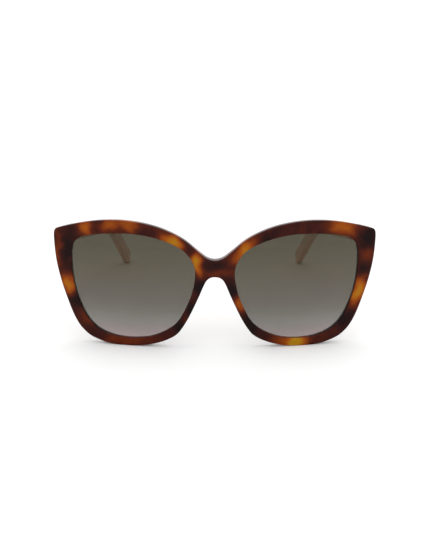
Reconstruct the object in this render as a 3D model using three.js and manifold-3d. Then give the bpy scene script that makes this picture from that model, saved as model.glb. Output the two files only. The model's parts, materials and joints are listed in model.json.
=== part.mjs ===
// Cat-eye sunglasses with a moulded acetate front, tinted lenses and two folding temples.
// Millimetres. +X is the wearer's left, the front faces -Y, +Z is up. The glasses stand open
// on a table, on their lower rims and their temple tips. Each left part is drawn on the +X
// side, and the right part is its mirror image.
import * as THREE from "three";
import { mergeVertices } from "three/addons/utils/BufferGeometryUtils.js";
import Module from "manifold-3d";

const wasm = await Module();
wasm.setup();

// The front is a flat drawing in x and z, bent onto a shallow curve. Depth is measured back from it.
const WRAP_RADIUS = 210; // curve seen from above
const BEND_RADIUS = 260; // curve seen from the side
const BEND_HEIGHT = 30;
const RIM_DEPTH = 4.0;
const BRIDGE_DEPTH = 5.4;
const BRIDGE_HALF_WIDTH = 13;
const OUTER_ROUND = 0.75; // edge radius along the outline
const INNER_ROUND = 0.35; // edge radius round the front of each lens opening
const BACK_ROUND = 0.9; // and round its back
const BACK_DRAFT = 0.6; // how much wider the opening is behind the lens
const SPOKE_STEP = 3.6; // distance along the outline from one section of the rim to the next
const OUTER_POINTS = [
  [0, 41.2], [3.2, 42], [7.4, 45.2], [12.6, 49.6], [18, 52.8], [25.9, 55.9], [34.5, 57.7], [43, 58.3],
  [52.9, 57.6], [62, 55.8], [70.2, 53.4], [72, 52.6], [72.5, 51.1], [72.45, 46.5], [71.7, 38.8],
  [69.9, 30.3], [67.2, 21.5], [63.7, 12.2], [60.7, 7.2], [56.6, 3.45], [52, 1.45], [48, 0.35], [44, -0.1],
  [40, -0.2], [36, -0.1], [32, 0.25], [28, 1.1], [23.4, 2.6], [19.3, 4.6], [16.7, 6.6], [14.8, 9.1],
  [11.9, 14.1], [9.1, 20], [6.8, 25.2], [5.2, 29.1], [3.7, 32], [1.9, 33.35], [0, 33.6],
];

// Lens opening, and the lens that snaps into its groove.
const OPENING_CENTRE = [36.5, 29];
const OPENING_POINTS = [
  [8.8, 35.5], [9.9, 40.2], [13.6, 45.1], [19.8, 48.65], [27.6, 51.1], [36.7, 52.4], [47, 52.15],
  [55, 51.2], [61.1, 49.3], [64, 45.6], [64.5, 39.5], [63.6, 28.6], [61.3, 20], [57.5, 12], [52.8, 7.2],
  [46.6, 4.6], [42, 3.85], [37.8, 3.7], [33.4, 4], [28.9, 4.9], [22.2, 7.9], [16.8, 12.5], [12.9, 19.4],
  [10.2, 26.4],
];
const LENS_FRONT = 0.5; // depth of the lens's front edge
const LENS_THICKNESS = 2.0;
const LENS_BULGE = 1.0;
const LENS_BEVEL = 0.65;
const LENS_BACK_GROW = 0.5; // the lens's back edge lies this far outside the opening
const LENS_GAP = 0.1;
const GROOVE_DEPTH = 0.8;
const GROOVE_EASE = 0.05; // the groove's mouth is this much narrower than the lens, on each side
const LENS_RINGS = [0.72, 0.4];

// Nose pads: a fin bonded behind the nasal side of each rim.
const NASAL_FROM = 28; // the first outline point on the nasal side, which runs up to the arch
const PAD_LOW = 11;
const PAD_HIGH = 28;
const PAD_REACH = 5;
const PAD_LEAST = 0.7; // reach at the pad's two ends
const PAD_STATIONS = 9;
const BOND_GAP = 0.1;
const PAD_SECTION = [
  [0.85, 0], [0.85, 0.55], [1.15, 0.88], [1.7, 1], [2.3, 0.88], [2.65, 0.55], [2.7, 0],
]; // distance from the nasal edge in mm, and share of the pad's reach

// End piece: the rim thickens to a flat pad that the temple butts against.
const BUTT_Y = 18.0;
const BUTT_GAP = 0.1;
const END_PIECE = { x: [64.4, 66.8], z: [42, 45] }; // where the thickening starts and is complete
const END_STOCK = 0.3; // left standing past the butt plane, then cut off
const BUTT_CUT = { x: [56, 80], z: [38, 60], deep: 8 };

// Temple: a flat bar that runs back, down and inwards, with an ear bend and a rounded tip.
const TEMPLE_X = 69.3; // middle of its thickness at the hinge
const TEMPLE_THICKNESS = 3.6;
const TEMPLE_Z = 47.8; // middle of its height at the butt
const TEMPLE_FALL = 0.2;
const INWARD_BEND = { start: 24, length: 16, slope: 0.1966 };
const EAR_BEND = { start: 100, length: 22, slope: 0.6 };
const TEMPLE_END_Y = 143.4;
const TEMPLE_HEIGHTS = [
  [14, 8.8], [20, 8.6], [30, 7.4], [45, 6.8], [70, 6.5], [100, 6.4], [125, 6.7], [144, 6.7],
];
const TEMPLE_TIP = [[1.3, 0.93], [2.3, 0.74], [3.0, 0.42]]; // distance past the end, and size
const TEMPLE_STATIONS = [
  14, 19, 24, 28, 32, 36, 40, 55, 70, 85, 100, 104, 108, 112, 117, 122, 129, 136, 143.4,
];
const TEMPLE_ROUND = 0.9;
const WIRE_RADIUS = 0.6;
const WIRE_CLEARANCE = 0.08;
const WIRE_OFFSET = [0.2, -0.8]; // from the temple's middle, outwards and up
const WIRE_END_Y = 130;
const WIRE_SETBACK = 0.2; // the wire starts this far behind the temple's front end
const WIRE_END_GAP = 0.3;

// Hinge: five knuckles on a vertical screw, three on the front and two on the temple.
const PIVOT_X = 65.75;
const PIVOT_Y = 19.8;
const HINGE_LOW = 46.0;
const KNUCKLE_RADIUS = 1.5;
const KNUCKLE_HEIGHT = 1.05;
const KNUCKLE_GAP = 0.07;
const PLATE_THICKNESS = 1.0;
const PLATE_GAP = 0.05;
const FRONT_PLATE_X = [65.05, 69.5];
const TEMPLE_PLATE_Y = [19.1, 28.0];
const TEMPLE_PLATE_HEIGHT = 3.8;
const TEMPLE_PLATE_FALL = 0.3;
const SCREW_RADIUS = 0.6;
const SCREW_CLEARANCE = 0.05;
const SCREW_HEAD = { radius: 1.05, height: 0.55, slot: 0.3, lift: 0.03 };
const FRONT_WEB = { width: 1.4, sunk: 0.5 }; // the webs join the knuckles to their plates
const TEMPLE_WEB = { front: 0.8, sunk: 0.4 };
const PIN_RADIUS = 0.55;
const PIN_CLEARANCE = 0.05;
const PIN_LENGTH = 3.2;
const TEMPLE_PIN_LENGTH = 2.5;
const FRONT_PIN_HEIGHTS = [47.5, 50.0];
const FRONT_PIN_X = 68.2;
const TEMPLE_PIN_Y = [22.4, 26.0];

const HINGE_HIGH = HINGE_LOW + 5 * KNUCKLE_HEIGHT + 4 * KNUCKLE_GAP;
const HINGE_MIDDLE = (HINGE_LOW + HINGE_HIGH) / 2;
const TEMPLE_INNER_X = TEMPLE_X - TEMPLE_THICKNESS / 2;
const PLATE_ANGLE = Math.atan(TEMPLE_PLATE_FALL);

const finish = (color, roughness, metalness = 0) => ({ color, roughness, metalness });
const TABLE = box([-100, 100], [-20, 170], [-10, 0]); // everything below the table top is cut off

const FINISHES = {
  tortoiseshell: finish(0x5a2412, 0.18),
  lens: { ...finish(0x6e6a5c, 0.05), transparent: true, opacity: 0.6 },
  champagne: finish(0xecccae, 0.22),
  gold: finish(0xc9a057, 0.3, 1),
};

// ---- solids ----

function solidOf(geometry) {
  const bare = new THREE.BufferGeometry().setAttribute("position", geometry.getAttribute("position"));
  if (geometry.index) bare.setIndex(geometry.index);
  const merged = mergeVertices(bare, 1e-4);
  return new wasm.Manifold(
    new wasm.Mesh({
      numProp: 3,
      vertProperties: new Float32Array(merged.attributes.position.array),
      triVerts: new Uint32Array(merged.index.array),
    }),
  );
}

function geometryOf(solid) {
  const mesh = solid.getMesh();
  const geometry = new THREE.BufferGeometry();
  geometry.setAttribute("position", new THREE.BufferAttribute(mesh.vertProperties, 3));
  geometry.setIndex(new THREE.BufferAttribute(mesh.triVerts, 1));
  geometry.computeVertexNormals();
  return geometry;
}

const join = (solids) => solids.reduce((sum, solid) => sum.add(solid));
const cut = (solid, tools) => tools.reduce((rest, tool) => rest.subtract(tool), solid);

function box([x0, x1], [y0, y1], [z0, z1]) {
  const geometry = new THREE.BoxGeometry(x1 - x0, y1 - y0, z1 - z0);
  return geometry.translate((x0 + x1) / 2, (y0 + y1) / 2, (z0 + z1) / 2);
}

// A round bar of the given radius between two points that lie along one axis.
function rod(radius, from, to, sides = 20) {
  const start = new THREE.Vector3(...from);
  const span = new THREE.Vector3(...to).sub(start);
  const geometry = new THREE.CylinderGeometry(radius, radius, span.length(), sides);
  if (span.z) geometry.rotateX(Math.PI / 2);
  if (span.x) geometry.rotateZ(Math.PI / 2);
  return geometry.translate(...start.addScaledVector(span, 0.5).toArray());
}

// A closed surface through rings of points, which run anticlockwise seen from the last ring.
function loft(rings) {
  const count = rings[0].length;
  const points = rings.flat();
  const faces = [];
  for (let i = 0; i + 1 < rings.length; i++) {
    for (let j = 0; j < count; j++) {
      const [a, b] = [i * count + j, i * count + ((j + 1) % count)];
      faces.push(a, b, b + count, a, b + count, a + count);
    }
  }
  for (const [first, ring] of [[0, rings[0]], [points.length - count, rings.at(-1)]]) {
    const middle = ring.reduce((sum, p) => sum.clone().add(p)).divideScalar(count);
    points.push(middle);
    for (let j = 0; j < count; j++) {
      const [a, b] = [first + j, first + ((j + 1) % count)];
      faces.push(...(first ? [a, b, points.length - 1] : [b, a, points.length - 1]));
    }
  }
  return new THREE.BufferGeometry().setFromPoints(points).setIndex(faces);
}

// ---- the front's curve and outlines ----

const curveY = (x, z) => x ** 2 / (2 * WRAP_RADIUS) + (z - BEND_HEIGHT) ** 2 / (2 * BEND_RADIUS);

function onFront(x, z, depth) {
  const normal = new THREE.Vector3(-x / WRAP_RADIUS, 1, -(z - BEND_HEIGHT) / BEND_RADIUS).normalize();
  return new THREE.Vector3(x, curveY(x, z), z).addScaledVector(normal, depth);
}

// How deep the front is at a point: more at the bridge, and out to the butt plane at the end piece.
function backDepth(x, z) {
  const { smoothstep } = THREE.MathUtils;
  const bridge = 1 - smoothstep(x, 0, BRIDGE_HALF_WIDTH);
  const rim = RIM_DEPTH + (BRIDGE_DEPTH - RIM_DEPTH) * bridge;
  const slope = Math.hypot(x / WRAP_RADIUS, 1, (z - BEND_HEIGHT) / BEND_RADIUS);
  const end = (BUTT_Y + END_STOCK - curveY(x, z)) * slope;
  const share = smoothstep(x, ...END_PIECE.x) * smoothstep(z, ...END_PIECE.z);
  return rim + (end - rim) * share;
}

const curveThrough = (points, closed) =>
  new THREE.CatmullRomCurve3(points.map(([x, z]) => new THREE.Vector3(x, 0, z)), closed, "centripetal");

// Point and normal of a curve in x and z. The normal lies on the right of the direction of travel.
function edgeAt(curve, t) {
  const point = curve.getPoint(t);
  const along = curve.getTangent(t);
  return { x: point.x, z: point.z, nx: along.z, nz: -along.x };
}

// Half of the front's outline, from the top of the bridge round to the arch over the nose.
function outlineEdges() {
  const mirror = ([x, z]) => [-x, z];
  const points = [mirror(OUTER_POINTS[1]), ...OUTER_POINTS, mirror(OUTER_POINTS.at(-2))];
  const curve = curveThrough(points, false);
  const edges = [];
  for (let i = 1; i < points.length - 2; i++) {
    const length = Math.hypot(points[i + 1][0] - points[i][0], points[i + 1][1] - points[i][1]);
    const steps = Math.ceil(length / SPOKE_STEP);
    for (let k = 0; k < steps; k++) edges.push(edgeAt(curve, (i + k / steps) / (points.length - 1)));
  }
  edges[0] = { x: 0, z: OUTER_POINTS[0][1], nx: 0, nz: -1 };
  edges.push({ x: 0, z: OUTER_POINTS.at(-1)[1], nx: 0, nz: 1 });
  return edges;
}

// The point of the lens opening that lies in the direction of (x, z) from its centre.
function openingEdgeTowards(curve, x, z) {
  const [cx, cz] = OPENING_CENTRE;
  const side = (p) => (x - cx) * (p.z - cz) - (z - cz) * (p.x - cx);
  const ahead = (p) => (x - cx) * (p.x - cx) + (z - cz) * (p.z - cz) > 0;
  const samples = 400;
  for (let i = 0; i < samples; i++) {
    const [a, b] = [edgeAt(curve, i / samples), edgeAt(curve, (i + 1) / samples)];
    if (ahead(a) && side(a) >= 0 && side(b) < 0) {
      const edge = edgeAt(curve, (i + side(a) / (side(a) - side(b))) / samples);
      return { x: edge.x, z: edge.z, nx: -edge.nx, nz: -edge.nz };
    }
  }
  throw new Error("no lens opening edge in that direction");
}

// Spokes run from the lens opening out to the outline, or across the bridge to the middle plane.
function makeSpokes() {
  const outline = outlineEdges();
  const opening = curveThrough(OPENING_POINTS, true);
  const [top, arch] = [OUTER_POINTS[0][1] - OUTER_ROUND, OUTER_POINTS.at(-1)[1] + OUTER_ROUND];
  for (const share of [0.2, 0.5, 0.8]) {
    outline.push({ x: 0, z: arch + (top - arch) * share, nx: 0, nz: 0, middle: true });
  }
  return outline.map((outer) => ({ outer, inner: openingEdgeTowards(opening, outer.x, outer.z) }));
}

const SPOKES = makeSpokes();
const offset = (edge, by) => [edge.x + edge.nx * by, edge.z + edge.nz * by];

// ---- front ----

// The rim's section along one spoke, from the front of the lens opening round the back.
function rimSection({ inner, outer }) {
  const backAt = ([x, z], lift) => onFront(x, z, backDepth(x, z) - lift);
  const frontAt = ([x, z], depth) => onFront(x, z, depth);
  const apex = LENS_FRONT + LENS_THICKNESS / 2;
  const mouth = LENS_THICKNESS / 2 - GROOVE_EASE;
  const bulge = OUTER_ROUND * (1 - Math.SQRT1_2);
  const backBulge = BACK_ROUND * (1 - Math.SQRT1_2);
  const round = outer.middle ? 0 : OUTER_ROUND;
  const [near, nearBack] = [offset(inner, INNER_ROUND), offset(inner, BACK_DRAFT + BACK_ROUND)];
  const far = offset(outer, round);
  const between = (start, share) => [0, 1].map((k) => start[k] + (far[k] - start[k]) * share);
  const side = outer.middle
    ? [backAt(far, 0), backAt(far, 0), frontAt(far, 0), frontAt(far, 0)]
    : [
        backAt(offset(outer, bulge), bulge),
        backAt(offset(outer, 0), OUTER_ROUND),
        frontAt(offset(outer, 0), OUTER_ROUND),
        frontAt(offset(outer, bulge), bulge),
      ];
  return [
    frontAt(near, 0),
    frontAt(offset(inner, 0), INNER_ROUND),
    frontAt(offset(inner, 0), apex - mouth),
    frontAt(offset(inner, GROOVE_DEPTH), apex),
    frontAt(offset(inner, BACK_DRAFT), apex + mouth),
    backAt(offset(inner, BACK_DRAFT), BACK_ROUND),
    backAt(offset(inner, BACK_DRAFT + backBulge), backBulge),
    backAt(nearBack, 0),
    backAt(between(nearBack, 1 / 3), 0),
    backAt(between(nearBack, 2 / 3), 0),
    backAt(far, 0),
    ...side,
    frontAt(far, 0),
    frontAt(between(near, 2 / 3), 0),
    frontAt(between(near, 1 / 3), 0),
  ];
}

// Both halves of the front, joined at the middle plane where their sections are left open.
function frontShell() {
  const sections = SPOKES.map(rimSection);
  const count = sections[0].length;
  const points = sections.flat();
  const positions = [];
  const flat = (corners) => corners.every((p) => Math.abs(p.x) < 1e-6);
  const collapsed = ([a, b, c]) => Math.min(a.distanceTo(b), b.distanceTo(c), c.distanceTo(a)) < 1e-6;
  const addFace = (corners) => {
    if (flat(corners) || collapsed(corners)) return;
    corners.forEach((p) => positions.push(p.x, p.y, p.z));
    corners.toReversed().forEach((p) => positions.push(-p.x, p.y, p.z));
  };
  for (let i = 0; i < sections.length; i++) {
    const next = (i + 1) % sections.length;
    for (let j = 0; j < count; j++) {
      const k = (j + 1) % count;
      const [a, b] = [points[i * count + j], points[i * count + k]];
      const [c, d] = [points[next * count + k], points[next * count + j]];
      addFace([a, b, c]);
      addFace([a, c, d]);
    }
  }
  const attribute = new THREE.Float32BufferAttribute(positions, 3);
  return new THREE.BufferGeometry().setAttribute("position", attribute);
}

function frontPinHoles() {
  const depth = PIN_LENGTH + PIN_CLEARANCE;
  return FRONT_PIN_HEIGHTS.map((z) =>
    rod(PIN_RADIUS + PIN_CLEARANCE, [FRONT_PIN_X, BUTT_Y - depth, z], [FRONT_PIN_X, BUTT_Y + 1, z], 12),
  );
}

function frontFrame() {
  const [x0, x1] = FRONT_PLATE_X;
  const grow = PLATE_GAP;
  const rightAndLeft = [
    box(BUTT_CUT.x, [BUTT_Y, BUTT_Y + BUTT_CUT.deep], BUTT_CUT.z),
    box(
      [x0 - grow, x1 + grow],
      [BUTT_Y - PLATE_THICKNESS - grow, BUTT_Y + 1],
      [HINGE_LOW - grow, HINGE_HIGH + grow],
    ),
    ...frontPinHoles(),
  ].flatMap((tool) => [tool, mirrored(tool)]);
  return geometryOf(cut(solidOf(frontShell()), [...rightAndLeft, TABLE].map(solidOf)));
}

function mirrored(geometry) {
  const copy = geometry.index ? geometry.toNonIndexed() : geometry.clone();
  const position = copy.getAttribute("position");
  for (let i = 0; i < position.count; i += 3) {
    const corners = [0, 1, 2].map((k) => new THREE.Vector3().fromBufferAttribute(position, i + k));
    corners.toReversed().forEach((p, k) => position.setXYZ(i + k, -p.x, p.y, p.z));
  }
  return copy;
}

// ---- lens and nose pad ----

function lensFace(depth) {
  const [cx, cz] = OPENING_CENTRE;
  return [0, ...LENS_RINGS.toReversed()].map((size) =>
    SPOKES.map(({ inner }) => {
      const [x, z] = offset(inner, -LENS_GAP);
      const bulge = LENS_BULGE * (1 - size ** 2);
      return onFront(cx + (x - cx) * size, cz + (z - cz) * size, depth - bulge);
    }),
  );
}

function lens() {
  const ring = (by, depth) => SPOKES.map(({ inner }) => onFront(...offset(inner, by), depth));
  const back = LENS_FRONT + LENS_THICKNESS;
  const rings = [
    ...lensFace(LENS_FRONT).slice(1),
    ring(-LENS_GAP, LENS_FRONT),
    ring(LENS_BEVEL, LENS_FRONT + LENS_THICKNESS / 2),
    ring(LENS_BACK_GROW, back),
    ...lensFace(back).slice(1).toReversed(),
  ];
  return loft(rings);
}

// The nasal edge of the rim at a height, which the pad follows.
function nasalX(z) {
  const nasal = OUTER_POINTS.slice(NASAL_FROM);
  const k = nasal.findIndex(([, height]) => height > z);
  const [[x0, z0], [x1, z1]] = [nasal[k - 1], nasal[k]];
  return x0 + ((x1 - x0) * (z - z0)) / (z1 - z0);
}

function nosePad() {
  const rings = [];
  for (let i = 0; i < PAD_STATIONS; i++) {
    const share = i / (PAD_STATIONS - 1);
    const z = PAD_LOW + (PAD_HIGH - PAD_LOW) * share;
    const reach = PAD_LEAST + (PAD_REACH - PAD_LEAST) * Math.sin(Math.PI * share) ** 0.8;
    rings.push(
      PAD_SECTION.map(([across, back]) => {
        const x = nasalX(z) + across;
        return onFront(x, z, backDepth(x, z) + BOND_GAP + back * reach);
      }).toReversed(),
    );
  }
  return loft(rings);
}

// ---- temple ----

// How far a bend has moved the temple sideways at y: a parabola that runs on as a straight line.
function bendAt(y, { start, length, slope }) {
  const past = Math.max(0, y - start);
  return slope * (past < length ? past ** 2 / (2 * length) : past - length / 2);
}

function templePoint(y) {
  const z = TEMPLE_Z - TEMPLE_FALL * (y - BUTT_Y) - bendAt(y, EAR_BEND);
  return new THREE.Vector3(TEMPLE_X - bendAt(y, INWARD_BEND), y, z);
}

// Middle of the temple at y, with the directions outwards and up across it.
function templeFrame(y) {
  const along = templePoint(y + 0.1).sub(templePoint(y - 0.1)).normalize();
  const outward = new THREE.Vector3(along.y, -along.x, 0).normalize();
  const up = new THREE.Vector3().crossVectors(outward, along);
  return { middle: templePoint(y), along, outward, up };
}

function heightAt(y) {
  const k = Math.max(1, TEMPLE_HEIGHTS.findIndex(([at]) => at >= y));
  const [[y0, h0], [y1, h1]] = [TEMPLE_HEIGHTS[k - 1], TEMPLE_HEIGHTS[k]];
  return h0 + ((h1 - h0) * (y - y0)) / (y1 - y0);
}

// A rectangle with rounded corners across the temple, shifted along it by a distance.
function templeRing(y, size = 1, shift = 0) {
  const { middle, along, outward, up } = templeFrame(y);
  const [w, h, r] = [(TEMPLE_THICKNESS / 2) * size, (heightAt(y) / 2) * size, TEMPLE_ROUND * size];
  const ring = [];
  for (let i = 0; i < 12; i++) {
    const quarter = Math.floor(i / 3);
    const angle = (quarter + (i % 3) / 2) * (Math.PI / 2);
    const [sx, sz] = [[1, 1], [-1, 1], [-1, -1], [1, -1]][quarter];
    const [a, b] = [sx * (w - r) + r * Math.cos(angle), sz * (h - r) + r * Math.sin(angle)];
    const point = middle.clone().addScaledVector(along, shift);
    ring.push(point.addScaledVector(outward, a).addScaledVector(up, b));
  }
  return ring.reverse();
}

function wireSolid(radius, start, end) {
  const stations = [start, ...TEMPLE_STATIONS.filter((y) => y > start + 1 && y < end - 1), end];
  const rings = stations.map((y) => {
    const { middle, outward, up } = templeFrame(y);
    const ring = [];
    for (let i = 0; i < 8; i++) {
      const angle = (i * Math.PI) / 4;
      const a = WIRE_OFFSET[0] + radius * Math.cos(angle);
      const b = WIRE_OFFSET[1] + radius * Math.sin(angle);
      ring.push(middle.clone().addScaledVector(outward, a).addScaledVector(up, b));
    }
    return ring.reverse();
  });
  return loft(rings);
}

const plateMiddleZ = (y) => HINGE_MIDDLE - TEMPLE_PLATE_FALL * (y - PIVOT_Y);

// A bar in the temple's inner face, tilted with the temple.
function templePlate(grow, inward, forward) {
  const [y0, y1] = TEMPLE_PLATE_Y;
  const middle = (y0 + y1) / 2;
  const length = (y1 - y0) / Math.cos(PLATE_ANGLE);
  const half = TEMPLE_PLATE_HEIGHT / 2 + grow;
  const bar = box(
    [TEMPLE_INNER_X - inward, TEMPLE_INNER_X + PLATE_THICKNESS + grow],
    [-length / 2 - grow - forward, length / 2 + grow],
    [-half, half],
  );
  return bar.rotateX(-PLATE_ANGLE).translate(0, middle, plateMiddleZ(middle));
}

const templePin = (radius, reach, from, y) =>
  rod(radius, [from, y, plateMiddleZ(y)], [TEMPLE_INNER_X + reach, y, plateMiddleZ(y)], 12);

function temple() {
  const rings = TEMPLE_STATIONS.map((y) => templeRing(y));
  for (const [shift, size] of TEMPLE_TIP) rings.push(templeRing(TEMPLE_END_Y, size, shift));
  const tools = [
    box(BUTT_CUT.x, [0, BUTT_Y + BUTT_GAP], BUTT_CUT.z),
    TABLE,
    templePlate(PLATE_GAP, 2, 3),
    wireSolid(WIRE_RADIUS + WIRE_CLEARANCE, BUTT_Y - 1, WIRE_END_Y + WIRE_END_GAP),
    ...TEMPLE_PIN_Y.map((y) =>
      templePin(PIN_RADIUS + PIN_CLEARANCE, TEMPLE_PIN_LENGTH + PIN_CLEARANCE, TEMPLE_INNER_X - 1, y),
    ),
  ];
  return geometryOf(cut(solidOf(loft(rings)), tools.map(solidOf)));
}

// ---- hinge ----

function knuckle(i) {
  const low = HINGE_LOW + i * (KNUCKLE_HEIGHT + KNUCKLE_GAP);
  return [low, low + KNUCKLE_HEIGHT];
}

const onPivot = (radius, [low, high]) => rod(radius, [PIVOT_X, PIVOT_Y, low], [PIVOT_X, PIVOT_Y, high]);
const knuckleBarrel = (heights) => onPivot(KNUCKLE_RADIUS, heights);
const screwHole = () => onPivot(SCREW_RADIUS + SCREW_CLEARANCE, [HINGE_LOW - 1, HINGE_HIGH + 1]);

function frontHinge() {
  const [x0, x1] = FRONT_PLATE_X;
  const pieces = [box([x0, x1], [BUTT_Y - PLATE_THICKNESS, BUTT_Y], [HINGE_LOW, HINGE_HIGH])];
  for (const i of [0, 2, 4]) {
    const web = box([x0, x0 + FRONT_WEB.width], [BUTT_Y - FRONT_WEB.sunk, PIVOT_Y], knuckle(i));
    pieces.push(web, knuckleBarrel(knuckle(i)));
  }
  return geometryOf(cut(join(pieces.map(solidOf)), [screwHole(), ...frontPinHoles()].map(solidOf)));
}

function templeHinge() {
  const pieces = [templePlate(0, 0, 0)];
  for (const i of [1, 3]) {
    const y = [PIVOT_Y - TEMPLE_WEB.front, PIVOT_Y + KNUCKLE_RADIUS];
    const web = box([PIVOT_X, TEMPLE_INNER_X + TEMPLE_WEB.sunk], y, knuckle(i));
    pieces.push(web, knuckleBarrel(knuckle(i)));
  }
  const pinHoles = TEMPLE_PIN_Y.map((y) =>
    templePin(PIN_RADIUS + PIN_CLEARANCE, PLATE_THICKNESS + 1, TEMPLE_INNER_X - 1, y),
  );
  return geometryOf(cut(join(pieces.map(solidOf)), [screwHole(), ...pinHoles].map(solidOf)));
}

function hingeScrew() {
  const { radius, height, slot, lift } = SCREW_HEAD;
  const seat = HINGE_HIGH + lift;
  const shaft = onPivot(SCREW_RADIUS, [HINGE_LOW, seat + 0.1]);
  const head = onPivot(radius, [seat, seat + height]);
  const driver = box(
    [PIVOT_X - 2, PIVOT_X + 2],
    [PIVOT_Y - slot / 2, PIVOT_Y + slot / 2],
    [seat + height - slot, seat + height + 1],
  );
  return geometryOf(cut(join([shaft, head].map(solidOf)), [solidOf(driver)]));
}

// ---- the whole object ----

const glasses = new THREE.Group();

function addPiece(parent, name, geometry, finishName) {
  const mesh = new THREE.Mesh(geometry, new THREE.MeshStandardMaterial(FINISHES[finishName]));
  mesh.name = name;
  parent.add(mesh);
}

function addSide(side, direction) {
  const group = new THREE.Group();
  group.scale.x = direction;
  glasses.add(group);
  addPiece(group, `${side}_lens`, lens(), "lens");
  addPiece(group, `${side}_nose_pad`, nosePad(), "tortoiseshell");
  addPiece(group, `${side}_front_hinge`, frontHinge(), "gold");
  addPiece(group, `${side}_temple_hinge`, templeHinge(), "gold");
  addPiece(group, `${side}_hinge_screw`, hingeScrew(), "gold");
  FRONT_PIN_HEIGHTS.forEach((z, i) => {
    const pin = rod(PIN_RADIUS, [FRONT_PIN_X, BUTT_Y - PIN_LENGTH, z], [FRONT_PIN_X, BUTT_Y, z], 12);
    addPiece(group, `${side}_front_pin_${i + 1}`, pin, "gold");
  });
  TEMPLE_PIN_Y.forEach((y, i) => {
    const pin = templePin(PIN_RADIUS, TEMPLE_PIN_LENGTH, TEMPLE_INNER_X, y);
    addPiece(group, `${side}_temple_pin_${i + 1}`, pin, "gold");
  });
  addPiece(group, `${side}_temple`, temple(), "champagne");
  const wire = wireSolid(WIRE_RADIUS, BUTT_Y + BUTT_GAP + WIRE_SETBACK, WIRE_END_Y);
  addPiece(group, `${side}_temple_core_wire`, wire, "gold");
}

addPiece(glasses, "front_frame", frontFrame(), "tortoiseshell");
addSide("left", 1);
addSide("right", -1);

// The origin is under the middle of the object, on the table.
const extent = new THREE.Box3().setFromObject(glasses);
glasses.position.set(0, -(extent.min.y + extent.max.y) / 2, -extent.min.z);
glasses.updateMatrixWorld(true);

export default glasses;
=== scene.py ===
# Looks for the cat-eye sunglasses: tortoiseshell front, tinted lenses, champagne temples, gold hinges.
# Shapes are drawn in millimetres in the frame of the part's own drawing, with x from the middle
# plane, y back from the front of the bridge and z above the table, then placed in metres.
import json
import math

import bmesh
import bpy
import numpy as np
from mathutils import Matrix, Vector

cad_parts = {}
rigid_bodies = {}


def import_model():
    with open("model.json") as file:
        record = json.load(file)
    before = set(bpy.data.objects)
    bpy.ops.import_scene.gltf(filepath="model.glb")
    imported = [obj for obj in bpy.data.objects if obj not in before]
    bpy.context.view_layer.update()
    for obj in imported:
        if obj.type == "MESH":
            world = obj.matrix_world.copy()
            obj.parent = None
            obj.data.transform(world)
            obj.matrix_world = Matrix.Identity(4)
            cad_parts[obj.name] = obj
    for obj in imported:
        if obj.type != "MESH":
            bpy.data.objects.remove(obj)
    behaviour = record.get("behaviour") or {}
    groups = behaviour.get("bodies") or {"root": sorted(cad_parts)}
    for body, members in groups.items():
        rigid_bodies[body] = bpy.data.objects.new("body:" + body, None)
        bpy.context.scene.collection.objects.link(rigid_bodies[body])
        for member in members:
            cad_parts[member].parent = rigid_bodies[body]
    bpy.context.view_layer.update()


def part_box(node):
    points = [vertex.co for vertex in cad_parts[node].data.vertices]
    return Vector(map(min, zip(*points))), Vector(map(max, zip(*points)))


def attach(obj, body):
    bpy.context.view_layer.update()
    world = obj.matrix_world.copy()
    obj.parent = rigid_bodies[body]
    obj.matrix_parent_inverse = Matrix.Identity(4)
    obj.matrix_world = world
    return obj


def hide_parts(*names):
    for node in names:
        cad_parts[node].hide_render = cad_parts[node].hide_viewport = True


for old in list(bpy.data.objects):
    bpy.data.objects.remove(old)
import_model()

# ---- driving dimensions of the part, repeated from its drawing ----

WRAP_RADIUS, BEND_RADIUS, BEND_HEIGHT = 210, 260, 30
RIM_DEPTH, BRIDGE_DEPTH, BRIDGE_HALF_WIDTH = 4.0, 5.4, 13
OUTER_ROUND, INNER_ROUND, BACK_ROUND, BACK_DRAFT = 0.75, 0.35, 0.9, 0.6
OUTER_POINTS = [
    (0, 41.2), (3.2, 42), (7.4, 45.2), (12.6, 49.6), (18, 52.8), (25.9, 55.9), (34.5, 57.7), (43, 58.3),
    (52.9, 57.6), (62, 55.8), (70.2, 53.4), (72, 52.6), (72.5, 51.1), (72.45, 46.5), (71.7, 38.8),
    (69.9, 30.3), (67.2, 21.5), (63.7, 12.2), (60.7, 7.2), (56.6, 3.45), (52, 1.45), (48, 0.35),
    (44, -0.1), (40, -0.2), (36, -0.1), (32, 0.25), (28, 1.1), (23.4, 2.6), (19.3, 4.6), (16.7, 6.6),
    (14.8, 9.1), (11.9, 14.1), (9.1, 20), (6.8, 25.2), (5.2, 29.1), (3.7, 32), (1.9, 33.35), (0, 33.6),
]
OPENING_CENTRE = (36.5, 29)
OPENING_POINTS = [
    (8.8, 35.5), (9.9, 40.2), (13.6, 45.1), (19.8, 48.65), (27.6, 51.1), (36.7, 52.4), (47, 52.15),
    (55, 51.2), (61.1, 49.3), (64, 45.6), (64.5, 39.5), (63.6, 28.6), (61.3, 20), (57.5, 12),
    (52.8, 7.2), (46.6, 4.6), (42, 3.85), (37.8, 3.7), (33.4, 4), (28.9, 4.9), (22.2, 7.9),
    (16.8, 12.5), (12.9, 19.4), (10.2, 26.4),
]
LENS_FRONT, LENS_THICKNESS, LENS_BULGE = 0.5, 2.0, 1.0
LENS_BEVEL, LENS_GAP, LENS_BACK_GROW = 0.65, 0.1, 0.5
GROOVE_DEPTH, GROOVE_EASE = 0.8, 0.05
PAD_LOW, PAD_HIGH, PAD_REACH, BOND_GAP = 11, 28, 5, 0.1
PAD_SECTION = [(0.85, 0), (0.85, 0.55), (1.15, 0.88), (1.7, 1), (2.3, 0.88), (2.65, 0.55), (2.7, 0)]
BUTT_Y, BUTT_GAP = 18.0, 0.1
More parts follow.
